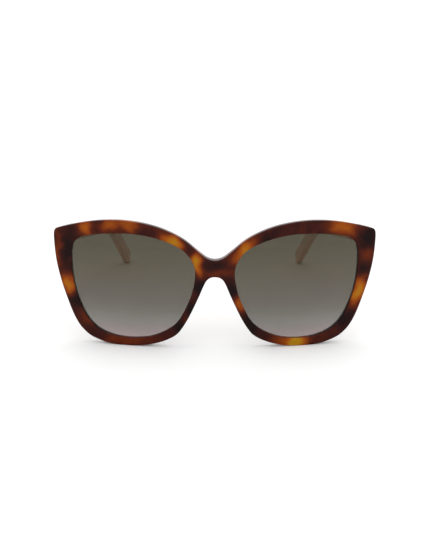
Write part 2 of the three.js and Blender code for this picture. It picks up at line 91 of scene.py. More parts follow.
END_PIECE_X, END_PIECE_Z, END_STOCK = (64.4, 66.8), (42, 45), 0.3
TEMPLE_X, TEMPLE_THICKNESS, TEMPLE_Z, TEMPLE_FALL = 69.3, 3.6, 47.8, 0.2
INWARD_BEND, EAR_BEND = (24, 16, 0.1966), (100, 22, 0.6)
TEMPLE_END_Y = 143.4
TEMPLE_HEIGHTS = [(14, 8.8), (20, 8.6), (30, 7.4), (45, 6.8), (70, 6.5), (100, 6.4), (125, 6.7), (144, 6.7)]
TEMPLE_TIP_LENGTH = 3.3
WIRE_RADIUS, WIRE_OFFSET, WIRE_END_Y = 0.6, (0.2, -0.8), 130
WIRE_CLEARANCE, WIRE_SETBACK = 0.08, 0.2
PIVOT_X, PIVOT_Y, HINGE_LOW = 65.75, 19.8, 46.0
KNUCKLE_RADIUS, KNUCKLE_HEIGHT, KNUCKLE_GAP = 1.5, 1.05, 0.07
PLATE_THICKNESS, PLATE_GAP, FRONT_PLATE_X = 1.0, 0.05, (65.05, 69.5)
TEMPLE_PLATE_Y, TEMPLE_PLATE_HEIGHT, TEMPLE_PLATE_FALL = (19.1, 28.0), 3.8, 0.3
FRONT_WEB_WIDTH, FRONT_WEB_SUNK = 1.4, 0.5
TEMPLE_WEB_FRONT, TEMPLE_WEB_SUNK = 0.8, 0.4
SCREW_RADIUS, SCREW_CLEARANCE = 0.6, 0.05
HEAD_RADIUS, HEAD_HEIGHT, HEAD_SLOT, HEAD_LIFT = 1.05, 0.55, 0.3, 0.03
PIN_RADIUS, PIN_CLEARANCE, PIN_LENGTH, TEMPLE_PIN_LENGTH = 0.55, 0.05, 3.2, 2.5
FRONT_PIN_HEIGHTS, FRONT_PIN_X, TEMPLE_PIN_Y = (47.5, 50.0), 68.2, (22.4, 26.0)

HINGE_HIGH = HINGE_LOW + 5 * KNUCKLE_HEIGHT + 4 * KNUCKLE_GAP
HINGE_MIDDLE = (HINGE_LOW + HINGE_HIGH) / 2
TEMPLE_INNER_X = TEMPLE_X - TEMPLE_THICKNESS / 2
MM = 0.001
screw_low, screw_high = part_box("left_hinge_screw")
SHIFT_Y = (screw_low.y + screw_high.y) / 2 / MM - PIVOT_Y


def placed(points):
    """Points of the drawing, in millimetres, as an array in metres in the row frame."""
    array = np.array(points, float).reshape(-1, 3)
    array[:, 1] += SHIFT_Y
    return array * MM


# ---- camera, made first ----

CAMERA_DISTANCE = 600
CAMERA_LENS = 87.0
CAMERA_ELEVATION, CAMERA_AZIMUTH, CAMERA_ROLL = (math.radians(a) for a in (16.9, -0.45, 0.2))
CAMERA_TARGET = (0, 0, 29)
CAMERA_AIM = (0, 0, 32.8)


def make_camera():
    data = bpy.data.cameras.new("camera")
    data.lens = CAMERA_LENS
    camera = bpy.data.objects.new("camera", data)
    bpy.context.scene.collection.objects.link(camera)
    target, aim = (Vector(p) for p in placed([CAMERA_TARGET, CAMERA_AIM]))
    back = Vector((
        math.cos(CAMERA_ELEVATION) * math.sin(CAMERA_AZIMUTH),
        -math.cos(CAMERA_ELEVATION) * math.cos(CAMERA_AZIMUTH),
        math.sin(CAMERA_ELEVATION),
    ))
    camera.location = target + back * CAMERA_DISTANCE * MM
    look = (aim - camera.location).to_track_quat("-Z", "Y")
    camera.rotation_euler = (look.to_matrix() @ Matrix.Rotation(CAMERA_ROLL, 3, "Z")).to_euler()
    bpy.context.scene.camera = camera


make_camera()

# ---- curves ----


def spline(points, closed, steps=24):
    """A centripetal Catmull-Rom curve through points in x and z, sampled steps times per span."""
    p = np.array(points, float)
    count = len(p)
    spans = range(count) if closed else range(1, count - 2)
    found = []
    for i in spans:
        p0, p1, p2, p3 = (p[(i + k) % count] for k in (-1, 0, 1, 2))
        d0, d1, d2 = (max(np.linalg.norm(b - a), 1e-6) ** 0.5 for a, b in ((p0, p1), (p1, p2), (p2, p3)))
        t1 = ((p1 - p0) / d0 - (p2 - p0) / (d0 + d1) + (p2 - p1) / d1) * d1
        t2 = ((p2 - p1) / d1 - (p3 - p1) / (d1 + d2) + (p3 - p2) / d2) * d1
        for s in np.arange(steps) / steps:
            found.append(
                p1 + t1 * s + (-3 * p1 + 3 * p2 - 2 * t1 - t2) * s**2 + (2 * p1 - 2 * p2 + t1 + t2) * s**3
            )
    return np.array(found)


def resampled(points, step, closed=True):
    """The polyline again with even spacing."""
    loop = np.vstack([points, points[:1]]) if closed else points
    lengths = np.concatenate([[0], np.cumsum(np.linalg.norm(np.diff(loop, axis=0), axis=1))])
    count = round(lengths[-1] / step)
    at = np.linspace(0, lengths[-1], count + 1)
    even = np.stack([np.interp(at, lengths, loop[:, k]) for k in range(2)], axis=1)
    return even[:-1] if closed else even


def smoothed(points, rounds):
    """A closed polyline with its small ripples ironed out."""
    for _ in range(rounds):
        points = (np.roll(points, 1, 0) + 2 * points + np.roll(points, -1, 0)) / 4
    return points


def inward_normals(points):
    """Unit normals of a closed polyline that point into the area it encloses."""
    following = np.roll(points, -1, 0)
    turn = np.sign(np.sum(points[:, 0] * following[:, 1] - following[:, 0] * points[:, 1]))
    along = following - np.roll(points, 1, 0)
    along *= turn / np.linalg.norm(along, axis=1)[:, None]
    return np.stack([-along[:, 1], along[:, 0]], axis=1)


CURVE_STEP = 0.2
SMOOTH_ROUNDS = 14
left_half = np.array(OUTER_POINTS, float)
right_half = left_half[-2:0:-1] * (-1, 1)
outline = smoothed(resampled(spline(np.vstack([left_half, right_half]), True), CURVE_STEP), SMOOTH_ROUNDS)
outline = (outline + np.roll(outline[::-1], 1, 0) * (-1, 1)) / 2
outline[0, 0] = 0
opening = smoothed(resampled(spline(OPENING_POINTS, True), CURVE_STEP), SMOOTH_ROUNDS)


def curve_y(x, z):
    return x**2 / (2 * WRAP_RADIUS) + (z - BEND_HEIGHT) ** 2 / (2 * BEND_RADIUS)


def on_front(x, z, depth):
    """The point at a depth behind the front's curved surface, for arrays of x, z and depth."""
    x, z, depth = np.broadcast_arrays(np.asarray(x, float), z, depth)
    normal = np.stack([-x / WRAP_RADIUS, np.ones_like(x), -(z - BEND_HEIGHT) / BEND_RADIUS], axis=-1)
    normal /= np.linalg.norm(normal, axis=-1)[..., None]
    return np.stack([x, curve_y(x, z), z], axis=-1) + normal * depth[..., None]


def smoothstep(x, low, high):
    t = np.clip((x - low) / (high - low), 0, 1)
    return t * t * (3 - 2 * t)


def back_depth(x, z):
    rim = RIM_DEPTH + (BRIDGE_DEPTH - RIM_DEPTH) * (1 - smoothstep(x, 0, BRIDGE_HALF_WIDTH))
    slope = np.sqrt((x / WRAP_RADIUS) ** 2 + 1 + ((z - BEND_HEIGHT) / BEND_RADIUS) ** 2)
    end = (BUTT_Y + END_STOCK - curve_y(x, z)) * slope
    return rim + (end - rim) * smoothstep(x, *END_PIECE_X) * smoothstep(z, *END_PIECE_Z)


# ---- mesh helpers ----

OVERCUT = 1  # how far a cutting tool reaches past what it cuts

def new_object(name, points, faces, mirror=False):
    """A mesh object from points of the drawing. mirror makes the right-hand twin of a left part."""
    vertices = placed(points)
    if mirror:
        vertices[:, 0] *= -1
        faces = [face[::-1] for face in faces]
    mesh = bpy.data.meshes.new(name)
    mesh.from_pydata(vertices.tolist(), [], faces)
    mesh.validate()
    made = bpy.data.objects.new(name, mesh)
    bpy.context.scene.collection.objects.link(made)
    return made


def loft(rings):
    """Points and faces of a closed surface through rings, which run anticlockwise seen from the last."""
    count = len(rings[0])
    points = [p for ring in rings for p in ring]
    faces = []
    for i in range(len(rings) - 1):
        for j in range(count):
            a, b = i * count + j, i * count + (j + 1) % count
            faces.append((a, b, b + count, a + count))
    for first, ring in ((0, rings[0]), (len(points) - count, rings[-1])):
        points.append(np.mean(np.array(ring), axis=0))
        middle = len(points) - 1
        for j in range(count):
            a, b = first + j, first + (j + 1) % count
            faces.append((a, b, middle) if first else (b, a, middle))
    return points, faces


def combined(base, tools, operation):
    """base with each tool joined to it or cut from it, as one new mesh. The tools are used up."""
    for tool in tools:
        step = base.modifiers.new("combine", "BOOLEAN")
        step.operation = operation
        step.solver = "EXACT"
        step.object = tool
        apply_modifiers(base)
        bpy.data.objects.remove(tool)
    return base


def apply_modifiers(made):
    bpy.context.view_layer.update()
    graph = bpy.context.evaluated_depsgraph_get()
    mesh = bpy.data.meshes.new_from_object(made.evaluated_get(graph))
    made.modifiers.clear()
    made.data = mesh
    mesh.name = made.name


def shade(made, angle=32):
    """Smooth shading, with creases where faces meet at more than an angle in degrees."""
    made.data.shade_smooth()
    made.data.set_sharp_from_angle(angle=math.radians(angle))
    return made


def bevel(made, width, segments=3, angle=35):
    """Rounds the edges where faces meet at more than an angle in degrees."""
    step = made.modifiers.new("bevel", "BEVEL")
    step.width = width * MM
    step.segments = segments
    step.limit_method = "ANGLE"
    step.angle_limit = math.radians(angle)
    step.use_clamp_overlap = True
    apply_modifiers(made)
    return made


def box(name, x, y, z, mirror=False, turn=None):
    """A block over ranges of x, y and z. turn is an angle about X and the centre the block moves to."""
    corners = [Vector((a, b, c)) for c in z for b in y for a in x]
    if turn:
        angle, centre = turn
        spin = Matrix.Rotation(angle, 3, "X")
        corners = [spin @ c + Vector(centre) for c in corners]
    faces = [(0, 2, 3, 1), (4, 5, 7, 6), (0, 1, 5, 4), (2, 6, 7, 3), (0, 4, 6, 2), (1, 3, 7, 5)]
    return new_object(name, corners, faces, mirror)


def lathe(name, profile, origin, axis, mirror=False, sides=48):
    """A turned piece. The profile is (radius, distance along the axis), from one end to the other."""
    axes = [Vector((1, 0, 0)), Vector((0, 1, 0)), Vector((0, 0, 1))]
    k = "xyz".index(axis)
    along, across = axes[k], (axes[(k + 1) % 3], axes[(k + 2) % 3])
    rings = []
    for radius, distance in profile:
        middle = Vector(origin) + along * distance
        ring = []
        for i in range(sides):
            angle = 2 * math.pi * i / sides
            ring.append(middle + across[0] * radius * math.cos(angle) + across[1] * radius * math.sin(angle))
        rings.append(ring)
    return new_object(name, *loft(rings), mirror)


# ---- front ----

SPOKE_STEP = 0.8
MIDDLE_SPOKES = 9
FACE_ROWS = 9
FACE_SUPPORT = 0.03
WALL_SHARES = (0.06, 0.35, 0.65, 0.94)
ROUND_ROWS = 6


def spokes():
    """Matching points and normals of the lens opening and the outline, as rows, for the left half."""
    half = outline[: len(outline) // 2 + 1]
    normals = inward_normals(outline)[: len(half)]
    stride = round(SPOKE_STEP / CURVE_STEP)
    keep = sorted({*range(0, len(half), stride), len(half) - 1})
    outer, outer_normal = half[keep], normals[keep]
    outer[[0, -1], 0] = 0
    outer_normal[0], outer_normal[-1] = (0, -1), (0, 1)
    top, arch = outer[0, 1] - OUTER_ROUND, outer[-1, 1] + OUTER_ROUND
    shares = np.arange(1, MIDDLE_SPOKES + 1) / (MIDDLE_SPOKES + 1)
    middle = np.stack([0 * shares, arch + (top - arch) * shares], axis=1)
    outer = np.vstack([outer, middle])
    outer_normal = np.vstack([outer_normal, 0 * middle])
    centre = np.array(OPENING_CENTRE)
    opening_angles = np.arctan2(*(opening - centre).T[::-1])
    order = np.argsort(opening_angles)
    angles = np.arctan2(*(outer - centre).T[::-1])
    outward = -inward_normals(opening)
    columns = [opening[order, 0], opening[order, 1], outward[order, 0], outward[order, 1]]
    turn = 2 * math.pi
    inner = np.stack([np.interp(angles, opening_angles[order], c, period=turn) for c in columns], axis=1)
    inner[:, 2:] /= np.linalg.norm(inner[:, 2:], axis=1)[:, None]
    return inner[:, :2], inner[:, 2:], outer, outer_normal


INNER, INNER_NORMAL, OUTER, OUTER_NORMAL = spokes()


def front_sections():
    """Rows of points round the rim, from the front edge of the opening through its groove and the back."""
    near, wider = INNER + INNER_NORMAL * INNER_ROUND, INNER + INNER_NORMAL * BACK_DRAFT
    near_back = wider + INNER_NORMAL * BACK_ROUND
    far = OUTER + OUTER_NORMAL * OUTER_ROUND
    apex = LENS_FRONT + LENS_THICKNESS / 2
    mouth = LENS_THICKNESS / 2 - GROOVE_EASE
    quarter = [math.pi / 2 * k / ROUND_ROWS for k in range(ROUND_ROWS + 1)]

    def row(at, depth, from_back=False):
        x, z = at[:, 0], at[:, 1]
        return on_front(x, z, back_depth(x, z) - depth if from_back else depth)

    def across(start, end, from_back):
        shares = [FACE_SUPPORT, *np.linspace(0, 1, FACE_ROWS)[1:-1], 1 - FACE_SUPPORT]
        return [row(start + (end - start) * share, 0, from_back) for share in shares]

    def inner_round(edge, angle, radius, from_back):
        at = edge + INNER_NORMAL * radius * (1 - math.sin(angle))
        return row(at, radius * (1 - math.cos(angle)), from_back)

    def outer_round(angle, from_back):
        at = far - OUTER_NORMAL * OUTER_ROUND * math.sin(angle)
        return row(at, OUTER_ROUND * (1 - math.cos(angle)), from_back)

    back = [outer_round(angle, True) for angle in quarter]
    front = [outer_round(angle, False) for angle in quarter[::-1]]
    wall = [back[-1] + (front[0] - back[-1]) * share for share in WALL_SHARES]
    rows = [inner_round(INNER, angle, INNER_ROUND, False) for angle in quarter[::2]]
    rows += [row(INNER, apex - mouth), row(INNER + INNER_NORMAL * GROOVE_DEPTH, apex)]
    rows.append(row(wider, apex + mouth))
    rows += [inner_round(wider, angle, BACK_ROUND, True) for angle in quarter[::-1]]
    rows += across(near_back, far, True) + back + wall + front + across(far, near, False)
    return np.stack(rows, axis=1)


def front_shell():
    """Both halves of the front as one closed mesh. Faces that lie in the middle plane are left out."""
    sections = front_sections()
    spoke_count, row_count = sections.shape[:2]
    points = sections.reshape(-1, 3)
    points[np.abs(points[:, 0]) < 1e-4, 0] = 0
    faces = []
    for i in range(spoke_count):
        following = (i + 1) % spoke_count
        for j in range(row_count):
            k = (j + 1) % row_count
            here, there = i * row_count, following * row_count
            quad = (here + j, here + k, there + k, there + j)
            if np.any(points[list(quad), 0] > 0):
                faces.append(quad)
    mirrored = [tuple(len(points) + v for v in face[::-1]) for face in faces]
    shell = new_object("front_acetate", np.vstack([points, points * (-1, 1, 1)]), faces + mirrored)
    return cleaned(shell)


def cleaned(made):
    """Welds matching points, drops what is left over, and turns every face outwards."""
    work = bmesh.new()
    work.from_mesh(made.data)
    bmesh.ops.remove_doubles(work, verts=work.verts, dist=1e-6)
    bmesh.ops.dissolve_degenerate(work, edges=work.edges, dist=1e-7)
    loose = [v for v in work.verts if not v.link_faces]
    bmesh.ops.delete(work, geom=loose, context="VERTS")
    bmesh.ops.recalc_face_normals(work, faces=work.faces)
    work.to_mesh(made.data)
    work.free()
    return made


# The blocks that are cut away past the butt plane and below the table, as ranges of x, y and z.
FRONT_BUTT_CUT = (56, 80), (BUTT_Y, BUTT_Y + 8), (38, 60)
FRONT_TABLE_CUT = (-100, 100), (-20, 40), (-10, 0)


def front():
    tools = []
    for mirror in (False, True):
        tools.append(box("butt_cut", *FRONT_BUTT_CUT, mirror))
        x = (FRONT_PLATE_X[0] - PLATE_GAP, FRONT_PLATE_X[1] + PLATE_GAP)
        y = (BUTT_Y - PLATE_THICKNESS - PLATE_GAP, BUTT_Y + OVERCUT)
        tools.append(box("plate_cut", x, y, (HINGE_LOW - PLATE_GAP, HINGE_HIGH + PLATE_GAP), mirror))
    tools.append(box("table_cut", *FRONT_TABLE_CUT))
    return shade(combined(front_shell(), tools, "DIFFERENCE"))


# ---- lens and nose pad ----

LENS_RING_SHARES = [0.05, 0.2, 0.35, 0.5, 0.62, 0.74, 0.84, 0.92, 0.975]
LENS_STEP = 1.0


def lens(name, mirror):
    edge = resampled(opening, LENS_STEP)
    inward = inward_normals(edge)
    centre = np.array(OPENING_CENTRE)
    rim = edge + inward * LENS_GAP

    def ring(size, depth):
        at = centre + (rim - centre) * size
        return on_front(at[:, 0], at[:, 1], depth - LENS_BULGE * (1 - size**2))

    back = LENS_FRONT + LENS_THICKNESS
    bevel_line = edge - inward * LENS_BEVEL
    rings = [ring(share, LENS_FRONT) for share in LENS_RING_SHARES] + [ring(1, LENS_FRONT)]
    rings.append(on_front(bevel_line[:, 0], bevel_line[:, 1], LENS_FRONT + LENS_THICKNESS / 2))
    back_line = edge - inward * LENS_BACK_GROW
    rings.append(on_front(back_line[:, 0], back_line[:, 1], back))
    rings += [ring(share, back) for share in LENS_RING_SHARES[::-1]]
    made = new_object(name, *loft([list(r) for r in rings]), mirror)
    bevel_rows = (len(LENS_RING_SHARES), len(LENS_RING_SHARES) + 2)
    for k, face in enumerate(made.data.polygons):
        face.material_index = int(bevel_rows[0] <= k // len(edge) < bevel_rows[1])
    return shade(cleaned(made))


PAD_STATIONS, PAD_SECTION_STEPS, PAD_LEAST, PAD_FULLNESS = 41, 6, 0.7, 0.8
NASAL_LOW, NASAL_FAR = 7, 22  # the nasal side of the outline starts below this z and within this x


def nose_pad(name, mirror):
    nasal = outline[len(outline) // 4 : len(outline) // 2 + 1]
    nasal = nasal[np.argmax(nasal[:, 1] < NASAL_LOW) :]
    nasal = nasal[nasal[:, 0] < NASAL_FAR]
    heights, widths = nasal[:, 1], nasal[:, 0]
    section = spline([PAD_SECTION[0], *PAD_SECTION, PAD_SECTION[-1]], False, PAD_SECTION_STEPS)
    section = np.vstack([section, [PAD_SECTION[-1]]])
    rings = []
    for share in (1 - np.cos(np.linspace(0, math.pi, PAD_STATIONS))) / 2:
        z = PAD_LOW + (PAD_HIGH - PAD_LOW) * share
        reach = PAD_LEAST + (PAD_REACH - PAD_LEAST) * math.sin(math.pi * share) ** PAD_FULLNESS
        x = np.interp(z, heights, widths) + section[:, 0]
        depth = back_depth(x, np.full_like(x, z)) + BOND_GAP + section[:, 1] * reach
        rings.append(list(on_front(x, z, depth)[::-1]))
    return shade(cleaned(new_object(name, *loft(rings), mirror)), 40)


# ---- temple ----


def bend_at(y, bend):
    start, length, slope = bend
    past = max(0, y - start)
    return slope * (past**2 / (2 * length) if past < length else past - length / 2)


def temple_point(y):
    z = TEMPLE_Z - TEMPLE_FALL * (y - BUTT_Y) - bend_at(y, EAR_BEND)
    return Vector((TEMPLE_X - bend_at(y, INWARD_BEND), y, z))


def temple_frame(y):
    along = (temple_point(y + 0.1) - temple_point(y - 0.1)).normalized()
    outward = Vector((along.y, -along.x, 0)).normalized()
    return temple_point(y), along, outward, outward.cross(along)


HEIGHT_EASE = 6


def height_at(y):
    """The temple's height, with its changes eased over a few millimetres."""
    near = np.linspace(y - HEIGHT_EASE, y + HEIGHT_EASE, 2 * HEIGHT_EASE + 1)
    known, heights = zip(*TEMPLE_HEIGHTS)
    return float(np.mean(np.interp(near, known, heights)))


TEMPLE_ROUND, CORNER_STEPS = 1.15, 6


def temple_ring(y, size=1.0, shift=0.0):
    """The temple's section at y, scaled by size and moved along the temple by shift."""
    middle, along, outward, up = temple_frame(y)
    radius = TEMPLE_ROUND * size
    half = (TEMPLE_THICKNESS / 2 * size - radius, height_at(y) / 2 * size - radius)
    corners = ((1, 1), (-1, 1), (-1, -1), (1, -1))

    def on_corner(corner, angle):
        turned = (math.cos(angle), math.sin(angle))
        return [corner[k] * half[k] + radius * turned[k] for k in range(2)]

    section = []
    for quarter, corner in enumerate(corners):
        turns = [(quarter + k / CORNER_STEPS) * math.pi / 2 for k in range(CORNER_STEPS + 1)]
        section += [on_corner(corner, angle) for angle in turns]
        end = on_corner(corners[(quarter + 1) % 4], turns[-1])
        start = section[-1]
        section += [[start[k] + (end[k] - start[k]) * share for k in range(2)] for share in WALL_SHARES]
    return [middle + along * shift + outward * a + up * b for a, b in section[::-1]]


def wire_point(y, radius, angle):
    middle, _, outward, up = temple_frame(y)
    return (middle + outward * (WIRE_OFFSET[0] + radius * math.cos(angle))
            + up * (WIRE_OFFSET[1] + radius * math.sin(angle)))


def wire(name, radius, start, end, mirror, sides=20, step=2.0):
    stations = np.linspace(start, end, max(2, round((end - start) / step) + 1))
    rings = [[wire_point(y, radius, 2 * math.pi * i / sides) for i in range(sides)][::-1] for y in stations]
    return new_object(name, *loft(rings), mirror)


def plate_middle_z(y):
    return HINGE_MIDDLE - TEMPLE_PLATE_FALL * (y - PIVOT_Y)


PLATE_ANGLE = math.atan(TEMPLE_PLATE_FALL)


def temple_plate(name, mirror, grow=0, inward=0, forward=0):
    """The plate sunk in a temple, or with grow, inward and forward the pocket cut for it."""
    (y0, y1), half = TEMPLE_PLATE_Y, TEMPLE_PLATE_HEIGHT / 2 + grow
    middle, length = (y0 + y1) / 2, (y1 - y0) / math.cos(PLATE_ANGLE)
    x = (TEMPLE_INNER_X - inward, TEMPLE_INNER_X + PLATE_THICKNESS + grow)
    y = (-length / 2 - grow - forward, length / 2 + grow)
    return box(name, x, y, (-half, half), mirror, (-PLATE_ANGLE, (0, middle, plate_middle_z(middle))))


TEMPLE_STATIONS = [14, *np.arange(16, 140, 1.5), 141, TEMPLE_END_Y]
TIP_STEPS = 10
TEMPLE_BUTT_CUT = (50, 80), (0, BUTT_Y + BUTT_GAP), (30, 60)
TEMPLE_TABLE_CUT = (20, 80), (120, 170), (-10, 0)
WIRE_HOLE_END = BUTT_Y + 1.5


def temple(name, mirror):
    rings = [temple_ring(y) for y in TEMPLE_STATIONS]
    for k in range(1, TIP_STEPS + 1):
        angle = math.pi / 2 * k / (TIP_STEPS + 0.5)
        rings.append(temple_ring(TEMPLE_END_Y, math.cos(angle), TEMPLE_TIP_LENGTH * math.sin(angle)))
    made = new_object(name, *loft(rings), mirror)
    tools = [
        box("butt_cut", *TEMPLE_BUTT_CUT, mirror),
        box("table_cut", *TEMPLE_TABLE_CUT, mirror),
        temple_plate("plate_cut", mirror, PLATE_GAP, inward=2, forward=3),
        wire("wire_cut", WIRE_RADIUS + WIRE_CLEARANCE, BUTT_Y - OVERCUT, WIRE_HOLE_END, mirror),
    ]
    return shade(combined(made, tools, "DIFFERENCE"))


# ---- hinge ----

PLATE_BEVEL, KNUCKLE_CHAMFER, PIN_CHAMFER, PIN_END_CHAMFER = 0.16, 0.12, 0.1, 0.08
SMALL_SIDES = 32
RIVET_RADIUS, RIVET_HEIGHT, RIVET_EDGE, RIVET_STEPS = 0.85, 0.16, 0.06, 6


def knuckle(i):
    low = HINGE_LOW + i * (KNUCKLE_HEIGHT + KNUCKLE_GAP)
    return low, low + KNUCKLE_HEIGHT


def barrel(i, mirror):
    low, high = knuckle(i)
    small, length = KNUCKLE_RADIUS - KNUCKLE_CHAMFER, high - low
    profile = [(small, 0), (KNUCKLE_RADIUS, KNUCKLE_CHAMFER),
               (KNUCKLE_RADIUS, length - KNUCKLE_CHAMFER), (small, length)]
    return lathe("barrel", profile, (PIVOT_X, PIVOT_Y, low), "z", mirror)


def screw_hole(mirror):
    radius, length = SCREW_RADIUS + SCREW_CLEARANCE, HINGE_HIGH - HINGE_LOW + 2 * OVERCUT
    bottom = (PIVOT_X, PIVOT_Y, HINGE_LOW - OVERCUT)
    return lathe("hole", [(radius, 0), (radius, length)], bottom, "z", mirror, SMALL_SIDES)


def front_hinge(name, mirror):
    plate_y = (BUTT_Y - PLATE_THICKNESS, BUTT_Y)
    plate = bevel(box(name, FRONT_PLATE_X, plate_y, (HINGE_LOW, HINGE_HIGH), mirror), PLATE_BEVEL)
    web_x = (FRONT_PLATE_X[0], FRONT_PLATE_X[0] + FRONT_WEB_WIDTH)
    joined = []
    for i in (0, 2, 4):
        joined.append(box("web", web_x, (BUTT_Y - FRONT_WEB_SUNK, PIVOT_Y), knuckle(i), mirror))
        joined.append(barrel(i, mirror))
    combined(plate, joined, "UNION")
    holes = [screw_hole(mirror)]
    radius = PIN_RADIUS + PIN_CLEARANCE
    profile = [(radius, 0), (radius, PLATE_THICKNESS + OVERCUT)]
    for z in FRONT_PIN_HEIGHTS:
        start = (FRONT_PIN_X, plate_y[0] - OVERCUT / 2, z)
        holes.append(lathe("hole", profile, start, "y", mirror, SMALL_SIDES))
    return shade(cleaned(combined(plate, holes, "DIFFERENCE")))


def temple_hinge(name, mirror):
    plate = temple_plate(name, mirror)
    bevel(plate, PLATE_BEVEL)
    joined = []
    for i in (1, 3):
        x = (PIVOT_X, TEMPLE_INNER_X + TEMPLE_WEB_SUNK)
        y = (PIVOT_Y - TEMPLE_WEB_FRONT, PIVOT_Y + KNUCKLE_RADIUS)
        joined.append(box("web", x, y, knuckle(i), mirror))
        joined.append(barrel(i, mirror))
    combined(plate, joined, "UNION")
    return shade(cleaned(combined(plate, [screw_hole(mirror)], "DIFFERENCE")))


SCREW_TIP_CHAMFER, HEAD_CHAMFER, HEAD_SIDE, HEAD_STEPS = 0.15, 0.08, 0.25, 7


def hinge_screw(name, mirror):
    seat = HINGE_HIGH + HEAD_LIFT
    length = seat - HINGE_LOW
    profile = [(SCREW_RADIUS - SCREW_TIP_CHAMFER, 0), (SCREW_RADIUS, SCREW_TIP_CHAMFER),
               (SCREW_RADIUS, length), (HEAD_RADIUS - HEAD_CHAMFER, length),
               (HEAD_RADIUS, length + HEAD_CHAMFER)]
    for k in range(HEAD_STEPS):
        angle = math.pi / 2 * k / HEAD_STEPS
        height = HEAD_SIDE + (HEAD_HEIGHT - HEAD_SIDE) * math.sin(angle)
        profile.append((HEAD_RADIUS * math.cos(angle), length + height))
    made = lathe(name, profile, (PIVOT_X, PIVOT_Y, HINGE_LOW), "z", mirror)
    top = seat + HEAD_HEIGHT
    y = (PIVOT_Y - HEAD_SLOT / 2, PIVOT_Y + HEAD_SLOT / 2)
    x = (PIVOT_X - 2 * HEAD_RADIUS, PIVOT_X + 2 * HEAD_RADIUS)
    slot = box("slot", x, y, (top - HEAD_SLOT, top + OVERCUT), mirror)
    return shade(combined(made, [slot], "DIFFERENCE"))


def front_pin(name, z, mirror):
    flat = PIN_RADIUS - PIN_END_CHAMFER
    profile = [(PIN_RADIUS - PIN_CHAMFER, 0), (PIN_RADIUS, PIN_CHAMFER),
               (PIN_RADIUS, PIN_LENGTH - PIN_END_CHAMFER), (flat, PIN_LENGTH)]
    return shade(lathe(name, profile, (FRONT_PIN_X, BUTT_Y - PIN_LENGTH, z), "y", mirror, SMALL_SIDES))


def temple_pin(name, y, mirror):
    """A pin with a low domed head, which stands a little proud of the temple's plate."""
    profile = []
    for k in range(1, RIVET_STEPS + 1):
        angle = math.pi / 2 * k / RIVET_STEPS
        profile.append((RIVET_RADIUS * math.sin(angle), -RIVET_HEIGHT * math.cos(angle)))
    profile += [(RIVET_RADIUS, RIVET_EDGE), (PIN_RADIUS, RIVET_EDGE),
                (PIN_RADIUS, TEMPLE_PIN_LENGTH - PIN_CHAMFER), (PIN_RADIUS - PIN_CHAMFER, TEMPLE_PIN_LENGTH)]
    return shade(lathe(name, profile, (TEMPLE_INNER_X, y, plate_middle_z(y)), "x", mirror, SMALL_SIDES))


# ---- materials ----


def linear(*rgb):
    """A colour given as 0 to 255 in the usual display scale, as linear values with alpha."""
    return (*((c / 255 / 12.92 if c <= 10.31475 else ((c / 255 + 0.055) / 1.055) ** 2.4) for c in rgb), 1)


class Nodes:
    """A material's node tree, with a short way to add and link nodes."""

    def __init__(self, name):
        self.material = bpy.data.materials.new(name)
        self.material.use_nodes = True
        self.tree = self.material.node_tree
        self.tree.nodes.clear()
        self.output = self.add("ShaderNodeOutputMaterial")
        self.object_coords = self.add("ShaderNodeTexCoord").outputs["Object"]

    def add(self, kind, inputs=None, **settings):
        node = self.tree.nodes.new(kind)
        for key, value in settings.items():
            setattr(node, key, value)
        for key, value in (inputs or {}).items():
            self.put(node.inputs[key], value)
        return node

    def put(self, socket, value):
        if isinstance(value, bpy.types.NodeSocket):
            self.tree.links.new(value, socket)
        else:
            socket.default_value = value

    def math(self, operation, *values):
        return self.add("ShaderNodeMath", dict(enumerate(values)), operation=operation).outputs[0]

    def noise(self, scale, detail=3.0, roughness=0.5, distortion=0.0, at=None):
        inputs = {"Vector": at or self.object_coords, "Scale": scale, "Detail": detail,
                  "Roughness": roughness, "Distortion": distortion}
        return self.add("ShaderNodeTexNoise", inputs).outputs["Fac"]

    def spread(self, value, low, high):
        """value, from 0 to 1 and about a half, as low to high."""
        inputs = {"Value": value, "From Min": 0.3, "From Max": 0.7, "To Min": low, "To Max": high}
        return self.add("ShaderNodeMapRange", inputs).outputs[0]

    def ramp(self, value, stops):
        """Colours along a value. The stops are (position, colour), the first at 0 and the last at 1."""
        node = self.add("ShaderNodeValToRGB", {"Fac": value})
        elements = node.color_ramp.elements
        for position, _ in stops[1:-1]:
            elements.new(position)
        for element, (_, colour) in zip(elements, stops):
            element.color = colour
        return node.outputs["Color"]

    def mix(self, share, a, b):
        node = self.add("ShaderNodeMix", data_type="RGBA")
        for key, value in ((0, share), (6, a), (7, b)):
            self.put(node.inputs[key], value)
        return node.outputs[2]

    def bump(self, height, strength, distance):
        inputs = {"Height": height, "Strength": strength, "Distance": distance}
        return self.add("ShaderNodeBump", inputs).outputs["Normal"]

    def finish(self, shader):
        self.tree.links.new(shader, self.output.inputs["Surface"])
        return self.material

    def principled(self, inputs):
        return self.finish(self.add("ShaderNodeBsdfPrincipled", inputs).outputs[0])


# From the darkest brown, through red brown and amber, to yellow.
SHELL_TONES = [
    (0.0, linear(15, 4, 5)), (0.12, linear(24, 6, 5)), (0.28, linear(50, 14, 8)), (0.45, linear(80, 27, 5)),
    (0.62, linear(118, 50, 4)), (0.8, linear(144, 72, 6)), (1.0, linear(156, 110, 12)),
]


